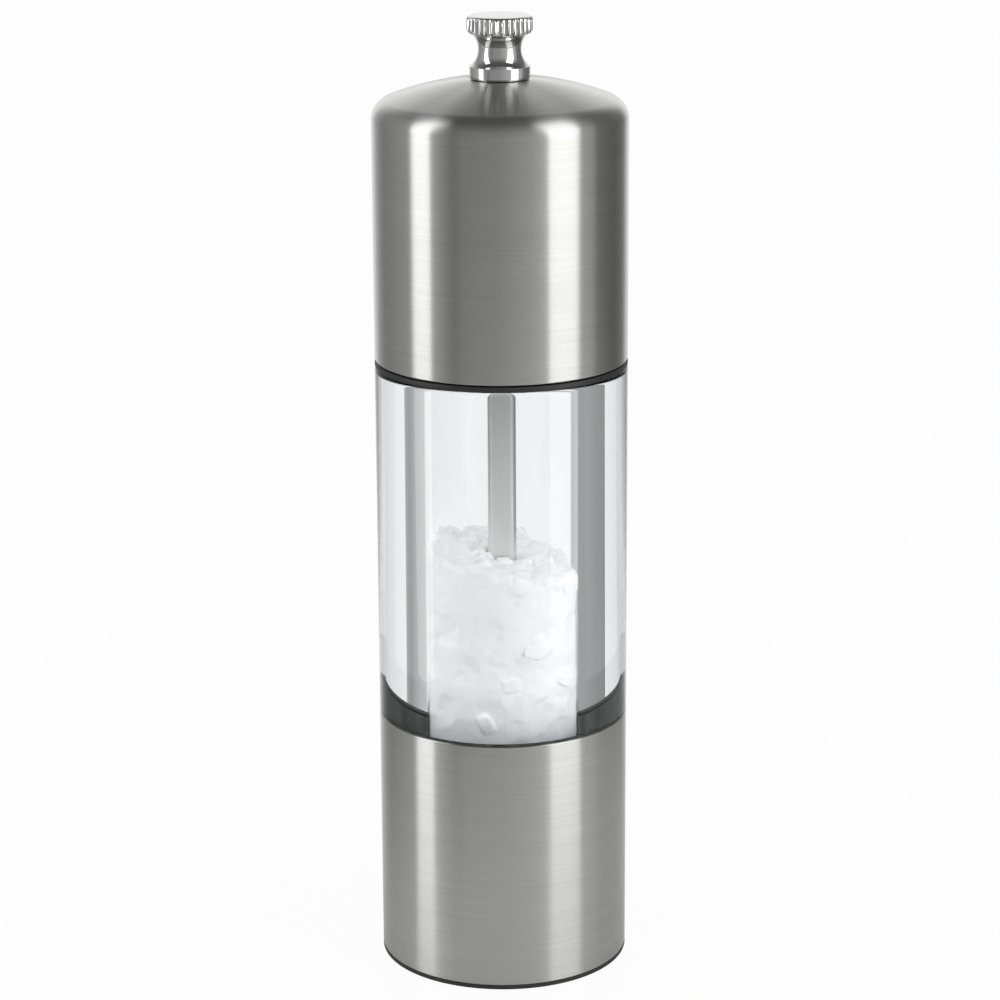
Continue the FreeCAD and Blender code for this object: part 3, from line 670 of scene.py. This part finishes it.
def knurl_tree(material):
    """Cuts straight round-bottomed flutes into whatever stands out to the tips' radius."""
    graph = geometry_tree("knurl", "Tip radius", "Depth", "Count")
    source = graph.node("NodeGroupInput")
    place = graph.node("GeometryNodeInputPosition")
    turn = axis_angle(graph, place) * source.out("Count") * 0.5
    wave = graph.maths("ABSOLUTE", graph.maths("COSINE", turn))
    flute = source.out("Tip radius") - source.out("Depth") * wave
    wanted = graph.maths("MINIMUM", axis_distance(graph, place), flute)
    cut = at_radius(graph, source.out("Geometry"), place, wanted)
    return finished_tree(graph, cut, material)


def thread_tree(material):
    """Cuts a right-hand thread into a round rod."""
    graph = geometry_tree("thread", "Start", "Pitch", "Depth", "Radius")
    source = graph.node("NodeGroupInput")
    place = graph.node("GeometryNodeInputPosition")
    height = graph.split(place)[2] - source.out("Start")
    turns = height / source.out("Pitch") - axis_angle(graph, place) / (2 * math.pi)
    wave = graph.maths("ABSOLUTE", graph.maths("FRACT", turns) * 2.0 - 1.0)
    groove = source.out("Radius") - source.out("Depth") * wave
    within = graph.maths("GREATER_THAN", height, 0.0)
    limit = groove * within + source.out("Radius") * (1.0 - within)
    wanted = graph.maths("MINIMUM", axis_distance(graph, place), limit)
    cut = at_radius(graph, source.out("Geometry"), place, wanted)
    return finished_tree(graph, cut, material)


def random_vector(graph, low, high, seed):
    inputs = {"Min": (low,) * 3, "Max": (high,) * 3, "Seed": seed}
    return graph.node("FunctionNodeRandomValue", {"data_type": "FLOAT_VECTOR"}, inputs)


def crystal(graph):
    """Rounded lump with a cube's faces, one unit across."""
    inputs = {"Vertices " + axis: CRYSTAL_POINTS for axis in "XYZ"}
    cube = graph.node("GeometryNodeMeshCube", inputs={"Size": (1.0, 1.0, 1.0), **inputs})
    place = graph.node("GeometryNodeInputPosition")
    ball = graph.scaled(graph.vector("NORMALIZE", place), CRYSTAL_BALL_R)
    inputs = {0: CRYSTAL_ROUNDNESS, 4: place, 5: ball}
    lump = graph.node("ShaderNodeMix", {"data_type": "VECTOR"}, inputs, output=1)
    return graph.node("GeometryNodeSetPosition", inputs={"Geometry": cube, "Position": lump})


def random_shift(graph, place, noise, detail, depth):
    """Shift of points at random, by up to half a depth each way."""
    cloud = graph.noise(place, noise, detail).out("Color")
    return graph.scaled(graph.vector("SUBTRACT", cloud, NOISE_MIDDLE), depth)


def crystal_tree(material):
    """Roughens the salt, strews crystals on it and melts both into a skin between bore and shaft."""
    graph = geometry_tree("crystals", "Size", "Gap", "Voxel", "Outer radius", "Inner radius")
    source = graph.node("NodeGroupInput")
    place = graph.node("GeometryNodeInputPosition")
    lumps = random_shift(graph, place, LUMP_NOISE, 1.0, LUMP_ROUGHNESS)
    grains = random_shift(graph, place, GRAIN_NOISE, 2.0, GRAIN_ROUGHNESS)
    inputs = {"Geometry": source.out("Geometry"), "Offset": graph.vector("ADD", lumps, grains)}
    core = graph.node("GeometryNodeSetPosition", inputs=inputs)
    upward = graph.split(graph.node("GeometryNodeInputNormal"))[2]
    inputs = {
        "Mesh": core,
        "Selection": graph.maths("GREATER_THAN", upward, TOP_FACING),
        "Distance Min": source.out("Gap"),
        "Density Max": CRYSTAL_DENSITY,
        "Seed": PLACE_SEED,
    }
    settings = {"distribute_method": "POISSON"}
    points = graph.node("GeometryNodeDistributePointsOnFaces", settings, inputs)
    spin = random_vector(graph, 0.0, 2 * math.pi, SPIN_SEED)
    share = random_vector(graph, *CRYSTAL_SHARES, SIZE_SEED)
    inputs = {
        "Points": points,
        "Instance": crystal(graph),
        "Rotation": graph.node("FunctionNodeEulerToRotation", inputs={0: spin}),
        "Scale": graph.scaled(share, source.out("Size")),
    }
    strewn = graph.node("GeometryNodeInstanceOnPoints", inputs=inputs)
    both = graph.node("GeometryNodeJoinGeometry")
    graph.tree.links.new(core.socket, both.node.inputs[0])
    graph.tree.links.new(strewn.socket, both.node.inputs[0])
    real = graph.node("GeometryNodeRealizeInstances", inputs={"Geometry": both})
    inputs = {"Mesh": real, "Voxel Size": source.out("Voxel"), "Interior Band Width": SALT_BAND}
    volume = graph.node("GeometryNodeMeshToVolume", {"resolution_mode": "VOXEL_SIZE"}, inputs)
    inputs = {"Volume": volume, "Threshold": SKIN_DENSITY}
    skin = graph.node("GeometryNodeVolumeToMesh", {"resolution_mode": "GRID"}, inputs)
    reach = axis_distance(graph, place)
    pressed = graph.maths("SMOOTH_MIN", reach, source.out("Outer radius"), SALT_PRESS)
    wanted = graph.maths("MAXIMUM", pressed, source.out("Inner radius"))
    return finished_tree(graph, at_radius(graph, skin, place, wanted), material)


def base_sleeve(material):
    outline = rounded(
        (BODY_R - SHELL_WALL, BASE_Z),
        (BODY_R, BASE_Z, SHELL_EDGE),
        (BODY_R, BASE_TOP_Z, SHELL_EDGE),
        (BODY_R - SHELL_WALL, BASE_TOP_Z),
    )
    install(lathe("base_sleeve", outline, material), "body", "brushed_steel", "base_shell")


def shoulder_ring(material):
    outline = rounded(
        (NECK_R + CLEARANCE, RING_Z),
        (BODY_R, RING_Z, RING_EDGE),
        (BODY_R, RING_TOP_Z, RING_EDGE),
        (NECK_R + CLEARANCE, RING_TOP_Z),
    )
    install(lathe("shoulder_ring", outline, material), "body", "black_plastic", "neck_ring")


def chamber_tube(acrylic, glue):
    """Thick clear tube whose spigot and lower shoulder are cemented into the black socket."""
    outline = rounded(
        (BORE_R, SPIGOT_Z),
        (SPIGOT_R, SPIGOT_Z),
        (SPIGOT_R, BASE_TOP_Z),
        (BODY_R - CHAMBER_LOWER_EDGE, BASE_TOP_Z),
        (BODY_R, BASE_TOP_Z + CHAMBER_LOWER_EDGE),
        (BODY_R, RING_Z, CHAMBER_EDGE),
        (NECK_R, RING_Z),
        (NECK_R, NECK_TOP_Z, NECK_EDGE),
        (BORE_R, NECK_TOP_Z, NECK_EDGE),
    )
    tube = lathe("chamber_tube", outline, acrylic)
    tube.data.materials.append(glue)
    for face in tube.data.polygons:
        off_bore = face.center.xy.length > BORE_R + CLEARANCE
        face.material_index = int(off_bore and face.center.z < BASE_TOP_Z + CHAMBER_LOWER_EDGE)
    install(tube, "body", "clear_acrylic", "chamber")


def salt_lumps():
    """Centres of the balls that rise out of the salt's sloping top."""
    lumps = []
    for index in range(LUMP_COUNT):
        radius = SALT_HOLE_R + (SALT_R - SALT_HOLE_R) * math.sqrt((index + 0.5) / LUMP_COUNT)
        x = radius * math.cos(index * LUMP_ANGLE)
        y = radius * math.sin(index * LUMP_ANGLE)
        lumps.append(Vector((x, y, SALT_LEVEL - SALT_SLOPE * x + LUMP_RISE - LUMP_R)))
    return lumps


def salt_top(radius, angle, lumps):
    """Point on the salt's top, over its slope and its lumps."""
    x = radius * math.cos(angle)
    y = radius * math.sin(angle)
    height = SALT_LEVEL - SALT_SLOPE * x
    for lump in lumps:
        rise = LUMP_R**2 - (x - lump.x) ** 2 - (y - lump.y) ** 2
        if rise > 0:
            height = max(height, lump.z + math.sqrt(rise))
    return Vector((x, y, height - TOP_SETBACK))


def salt_wall(angle, height):
    """Point on the salt's side, with the hollows between it and the bore."""
    depth = 0.0
    pitch = 2 * math.pi / HOLLOW_COUNT
    for row in range(HOLLOW_ROWS):
        turn = angle / pitch - 0.5 * (row % 2)
        across = (turn - round(turn)) * pitch * SALT_R
        up = height - BASE_TOP_Z - HOLLOW_PITCH * (row + 0.5)
        bend = across**2 * (1 / HOLLOW_R + 1 / SALT_R) + up**2 / HOLLOW_R
        depth = max(depth, HOLLOW_DEPTH - bend / 2)
    radius = SALT_R - CORE_SETBACK - depth
    return Vector((radius * math.cos(angle), radius * math.sin(angle), height))


def salt_core():
    """Rings of the salt under its crystals, from the funnel's mouth up and in to the shaft."""
    inner_r = SALT_HOLE_R + CORE_SETBACK
    outer_r = SALT_R - CORE_SETBACK
    angles = even_angles(CORE_AROUND)
    lumps = salt_lumps()
    rims = [salt_top(outer_r, angle, lumps).z for angle in angles]
    rings = [circle(inner_r, SALT_Z, CORE_AROUND), circle(FUNNEL_R - CORE_SETBACK, SALT_Z, CORE_AROUND)]
    for step in range(CORE_WALL_STEPS):
        share = step / CORE_WALL_STEPS
        heights = [SPIGOT_Z + (rim - SPIGOT_Z) * share for rim in rims]
        rings.append([salt_wall(angle, height) for angle, height in zip(angles, heights)])
    for step in range(CORE_TOP_STEPS + 1):
        radius = outer_r + (inner_r - outer_r) * step / CORE_TOP_STEPS
        rings.append([salt_top(radius, angle, lumps) for angle in angles])
    return rings


def salt_heap(material):
    heap = skinned("salt_heap", salt_core(), material, closed=True)
    sizes = {
        "Size": CRYSTAL_SIZE,
        "Gap": CRYSTAL_GAP,
        "Voxel": SALT_VOXEL,
        "Outer radius": BORE_R - CLEARANCE,
        "Inner radius": SHAFT_ROOM_R,
    }
    shaped(heap, crystal_tree(material), **sizes)
    smooth(heap, SOFT_ANGLE)
    install(heap, "body", "salt", "salt_charge")


def head_cap(material):
    """Domed steel shell: straight side, round shoulder, dome and a flat seat for the knob."""
    side_z = HEAD_Z + HEAD_SIDE_HEIGHT
    shoulder = Vector((BODY_R - SHOULDER_R, side_z))
    tilt = math.asin(shoulder.x / (DOME_R - SHOULDER_R))
    dome = Vector((0.0, side_z - (DOME_R - SHOULDER_R) * math.cos(tilt)))
    outline = rounded(
        (BODY_R - SHELL_WALL, HEAD_Z),
        (BODY_R, HEAD_Z, SHELL_EDGE),
        (BODY_R, side_z),
    )
    outline += arc(shoulder, SHOULDER_R, math.pi / 2, tilt, SHOULDER_STEPS)[1:]
    outline += arc(dome, DOME_R, tilt, math.asin(SEAT_R / DOME_R), DOME_STEPS)[1:]
    outline += [Vector((HEAD_HOLE_R, SEAT_Z)), Vector((HEAD_HOLE_R, SEAT_Z - SHELL_WALL))]
    inner_seat = math.acos((SEAT_Z - SHELL_WALL - dome.y) / (DOME_R - SHELL_WALL))
    outline += arc(dome, DOME_R - SHELL_WALL, inner_seat, tilt, INNER_DOME_STEPS)
    outline += arc(shoulder, SHOULDER_R - SHELL_WALL, tilt, math.pi / 2, INNER_SHOULDER_STEPS)[1:]
    install(lathe("head_cap", outline, material), "head", "brushed_steel", "head_shell")


def adjusting_knob(material):
    """Chromed nut: flange, hollow waist and a knurled grip with a rounded upper edge."""
    flange_top = KNOB_Z + FLANGE_HEIGHT
    reach = WAIST_R + WAIST_ARC
    half = math.sqrt(WAIST_ARC**2 - (reach - FLANGE_R) ** 2)
    swing = math.asin(half / WAIST_ARC)
    grip_z = flange_top + 2 * half
    centre = Vector((reach, flange_top + half))
    bore_top = KNOB_Z + KNOB_BORE_DEPTH
    outline = [Vector((0.0, bore_top)), Vector((KNOB_BORE_R, bore_top))]
    outline += rounded(
        (KNOB_BORE_R, KNOB_Z),
        (FLANGE_R, KNOB_Z, FLANGE_EDGE),
        (FLANGE_R, flange_top),
    )
    outline += arc(centre, WAIST_ARC, 1.5 * math.pi - swing, 1.5 * math.pi + swing, WAIST_STEPS)[1:]
    crown = rounded(
        (FLANGE_R, grip_z),
        (GRIP_R, grip_z + GRIP_BEVEL),
        (GRIP_R, KNOB_TOP_Z, GRIP_EDGE),
        (0.0, KNOB_TOP_Z),
    )
    outline += crown[1:]
    knob = lathe("adjusting_knob", outline, material, closed=False, count=KNURL_COUNT * KNURL_STEPS)
    sizes = {"Tip radius": GRIP_R, "Depth": KNURL_DEPTH, "Count": KNURL_COUNT}
    shaped(knob, knurl_tree(material), **sizes)
    install(knob, "knob", "knob_chrome", "knob")


def bar_ring(height):
    """Ring of a square bar with rounded edges."""
    flat = SHAFT_WIDTH / 2 - SHAFT_EDGE
    ring = []
    for corner in range(4):
        for step in range(EDGE_STEPS + 1):
            angle = math.pi / 2 * step / EDGE_STEPS
            place = Vector((flat, flat, height))
            place += Vector((math.cos(angle), math.sin(angle), 0.0)) * SHAFT_EDGE
            ring.append(Matrix.Rotation(math.pi / 2 * corner, 3, "Z") @ place)
    return ring


def drive_bar(material):
    """Square drawn bar with a threaded round end."""
    square_top = SHAFT_TOP_Z - THREAD_LENGTH
    rings = [
        [Vector((0.0, 0.0, SHAFT_Z))],
        bar_ring(SHAFT_Z),
        bar_ring(square_top),
        [Vector((0.0, 0.0, square_top))],
    ]
    bar = skinned("drive_bar", rings, material, closed=False)
    outline = [Vector((0.0, square_top)), Vector((THREAD_R, square_top))]
    steps = round((THREAD_LENGTH - THREAD_END) / THREAD_PITCH * THREAD_STEPS)
    for step in range(1, steps + 1):
        outline.append(Vector((THREAD_R, square_top + step * THREAD_PITCH / THREAD_STEPS)))
    outline += [Vector((THREAD_R - THREAD_END, SHAFT_TOP_Z)), Vector((0.0, SHAFT_TOP_Z))]
    end = lathe("drive_bar_end", outline, material, closed=False, count=THREAD_AROUND)
    sizes = {"Start": square_top + THREAD_PITCH, "Pitch": THREAD_PITCH, "Depth": THREAD_DEPTH}
    shaped(end, thread_tree(material), Radius=THREAD_R, **sizes)
    both = bmesh.new()
    both.from_mesh(bar.data)
    both.from_mesh(end.data)
    both.to_mesh(bar.data)
    both.free()
    bpy.data.objects.remove(end)
    smooth(bar)
    install(bar, "shaft", "shaft_aluminium", "drive_shaft")


def burr_coil(material):
    """Coil spring whose upper end is at the bush, in the CAD spring's box; it is set on no body, so its
    lower end does not move with the shaft.
    """
    low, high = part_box("burr_spring")
    wire_r = SPRING_WIRE / 2
    section = [
        Vector((math.cos(angle), 0.0, math.sin(angle))) * wire_r
        for angle in even_angles(WIRE_AROUND)
    ]
    steps = round(SPRING_TURNS * SPRING_STEPS)
    rings = []
    for step in range(steps + 1):
        turn = Matrix.Rotation(2 * math.pi * step / SPRING_STEPS, 3, "Z")
        height = low.z + wire_r + (high.z - low.z - SPRING_WIRE) * step / steps
        centre = Vector((high.x - wire_r, 0.0, height))
        rings.append([turn @ (centre + way) for way in section])
    ends = [[sum(ring, Vector()) / WIRE_AROUND] for ring in (rings[0], rings[-1])]
    coil = skinned("burr_coil", ends[:1] + rings + ends[1:], material, closed=False)
    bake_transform(coil)
    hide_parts("burr_spring")


def softbox(name, right, up, distance, width, height, level):
    """Area light that faces the mill; level is its brightness."""
    turn = math.radians(right)
    tilt = math.radians(up)
    lamp = bpy.data.lights.new(name, "AREA")
    lamp.shape = "RECTANGLE"
    lamp.size = width
    lamp.size_y = height
    lamp.energy = level * math.pi * width * height
    lamp_object = bpy.data.objects.new(name, lamp)
    bpy.context.scene.collection.objects.link(lamp_object)
    across = math.cos(tilt) * distance
    way = Vector((math.sin(turn) * across, -math.cos(turn) * across, math.sin(tilt) * distance))
    lamp_object.location = Vector((0.0, 0.0, LAMP_AIM_Z)) + way
    lamp_object.rotation_euler = way.to_track_quat("Z", "Y").to_euler()
    lamp_object.visible_camera = False
    lamp_object.visible_transmission = False
    return lamp_object


def studio_world():
    """Grey studio with a white backdrop; the camera itself sees plain white."""
    world = bpy.data.worlds.new("studio")
    world.use_nodes = True
    graph = Graph(world.node_tree)
    graph.tree.nodes.clear()
    x, y, z = graph.split(graph.node("ShaderNodeTexCoord", output="Generated"))
    turn = graph.maths("ARCTAN2", x, -y) / (2 * math.pi) + 0.5

    def levels(stops):
        places = [(degrees / 360 + 0.5, grey) for degrees, grey in stops]
        return graph.node("ShaderNodeValToRGB", {"stops": places}, {"Fac": turn})

    path = graph.node("ShaderNodeLightPath")
    mirrored = graph.bounced(path, "Glossy")
    deep = graph.bounced(path, "Transmission", BORE_CROSSINGS)
    matt = graph.bounced(path, "Diffuse")
    room = graph.mix(graph.step(z, *CEILING_EDGE), levels(WALLS), CEILING)
    bore = graph.mix(mirrored, levels(THROUGH_BORE), levels(INSIDE))
    wall = graph.vector("MULTIPLY", levels(PAST_BORE), ACRYLIC_TINT)
    chamber = graph.mix(deep, wall, bore)
    within = graph.mix(graph.step(z, *CHAMBER_TOP_EDGE), levels(CHAMBER_FILL), CHAMBER_TOP)
    clear = graph.mix(matt, chamber, within)
    open_room = graph.mix(matt, room, levels(FILL))
    seen = graph.mix(path.out("Is Transmission Ray"), open_room, clear)
    seen = graph.mix(path.out("Is Camera Ray"), seen, WHITE)
    shader = graph.node("ShaderNodeBackground", inputs={"Color": seen, "Strength": 1.0})
    graph.node("ShaderNodeOutputWorld", inputs={"Surface": shader})
    bpy.context.scene.world = world


def floor_paper():
    """Pale paper that the camera sees nearly white, and steel only where it is near."""
    finish = Finish("floor_paper")
    place = finish.place()
    fibre = finish.noise(place, 60.0, 3.0, 0.6)
    colour = finish.mix(fibre, (0.52, 0.52, 0.52, 1.0), (0.58, 0.58, 0.58, 1.0))
    path = finish.node("ShaderNodeLightPath")
    reach = finish.vector("DISTANCE", place, MIRRORED_FLOOR_CENTRE).out("Value")
    far = finish.step(reach, *MIRRORED_FLOOR)
    inputs = {"Base Color": colour, "Roughness": 0.25, "IOR": 1.5}
    paper = finish.node("ShaderNodeBsdfPrincipled", inputs=inputs)
    glow = finish.node("ShaderNodeEmission", inputs={"Color": WHITE, "Strength": 1.0})
    lit = finish.mixed_surface(path.out("Is Camera Ray") * FLOOR_GLOW, paper, glow)
    clear = finish.node("ShaderNodeBsdfTransparent")
    both = finish.mixed_surface(path.out("Is Glossy Ray") * far, lit, clear)
    finish.node("ShaderNodeOutputMaterial", inputs={"Surface": both})
    return finish.material


def floor():
    rings = [[Vector((0.0, 0.0, FLOOR_Z))], circle(FLOOR_R, FLOOR_Z, AROUND)]
    sheet = skinned("floor", rings, floor_paper(), closed=False)
    sheet.visible_transmission = False


def painted_band_glow(name, stops):
    """Glowing grey sheet that only light turned back by the bore's outside shows: painted shade for the
    darker bands in the chamber's sides.
    """
    finish = Finish(name)
    front, back = stops[0][0], stops[-1][0]
    share = (finish.split(finish.place())[1] - front) / (back - front)
    places = [((place - front) / (back - front), grey) for place, grey in stops]
    grey = finish.node("ShaderNodeValToRGB", {"stops": places}, {"Fac": share})
    path = finish.node("ShaderNodeLightPath")
    mirrored = finish.bounced(path, "Glossy")
    matt = finish.bounced(path, "Diffuse")
    clear = finish.node("ShaderNodeBsdfTransparent")
    # The sheet glows its grey level: painted shade seen through the chamber
    glowing_sheet = finish.node("ShaderNodeEmission", inputs={"Color": grey, "Strength": 1.0})
    shader = finish.mixed_surface(mirrored * (1.0 - matt), clear, glowing_sheet)
    finish.node("ShaderNodeOutputMaterial", inputs={"Surface": shader})
    return finish.material


def painted_band_sheet(name, x, stops):
    """Upright glowing sheet beside the chamber, seen through the chamber alone, that paints shade into the
    chamber's sides.
    """
    front, back = stops[0][0], stops[-1][0]
    corners = [
        (x, front, BAND_SHEET_LOW_Z),
        (x, back, BAND_SHEET_LOW_Z),
        (x, back, BAND_SHEET_HIGH_Z),
        (x, front, BAND_SHEET_HIGH_Z),
    ]
    mesh = bpy.data.meshes.new(name)
    mesh.from_pydata(corners, [], [(0, 1, 2, 3)])
    mesh.materials.append(painted_band_glow(name, stops))
    glowing_sheet = bpy.data.objects.new(name, mesh)
    bpy.context.scene.collection.objects.link(glowing_sheet)
    glowing_sheet.visible_camera = False
    glowing_sheet.visible_diffuse = False
    glowing_sheet.visible_glossy = False
    glowing_sheet.visible_shadow = False


def camera():
    data = bpy.data.cameras.new("camera")
    data.lens = LENS
    data.sensor_width = SENSOR
    view = bpy.data.objects.new("camera", data)
    bpy.context.scene.collection.objects.link(view)
    pitch = Matrix.Rotation(math.pi / 2 - CAMERA_PITCH, 4, "X")
    view.matrix_world = Matrix.Translation(CAMERA_PLACE) @ pitch @ Matrix.Rotation(CAMERA_ROLL, 4, "Z")
    bpy.context.scene.camera = view


# Camera and studio
camera()
studio_world()
floor()
softbox("left_softbox", *LEFT_SOFTBOX)
softbox("right_softbox", *RIGHT_SOFTBOX)
top_light = softbox("top_softbox", *TOP_SOFTBOX)
top_light.visible_glossy = False
# Glowing sheets that paint shade into the chamber's sides
painted_band_sheet("left_card", -BAND_SHEET_X, LEFT_PAINTED_BANDS)
painted_band_sheet("right_card", BAND_SHEET_X, RIGHT_PAINTED_BANDS)

# A finish for every CAD node
finishes = {
    "brushed_steel": brushed_steel(),
    "black_plastic": black_plastic(),
    "clear_acrylic": clear_acrylic(),
    "salt": salt(),
    "burr_ceramic": burr_ceramic(),
    "plated_steel": plated_steel(),
    "pale_nylon": pale_nylon(),
    "shaft_aluminium": shaft_aluminium(),
    "knob_chrome": knob_chrome(),
}
for part in frame["record"]["subparts"]:
    node = frame["nodes"][part["node"]]
    node.data.materials.clear()
    node.data.materials.append(finishes[part["material_slot"]])

# Finer pieces in place of CAD nodes
base_sleeve(finishes["brushed_steel"])
shoulder_ring(finishes["black_plastic"])
chamber_tube(finishes["clear_acrylic"], glue_joint())
salt_heap(finishes["salt"])
head_cap(finishes["brushed_steel"])
adjusting_knob(finishes["knob_chrome"])
drive_bar(finishes["shaft_aluminium"])
burr_coil(finishes["plated_steel"])

bpy.context.scene.view_settings.view_transform = "Standard"
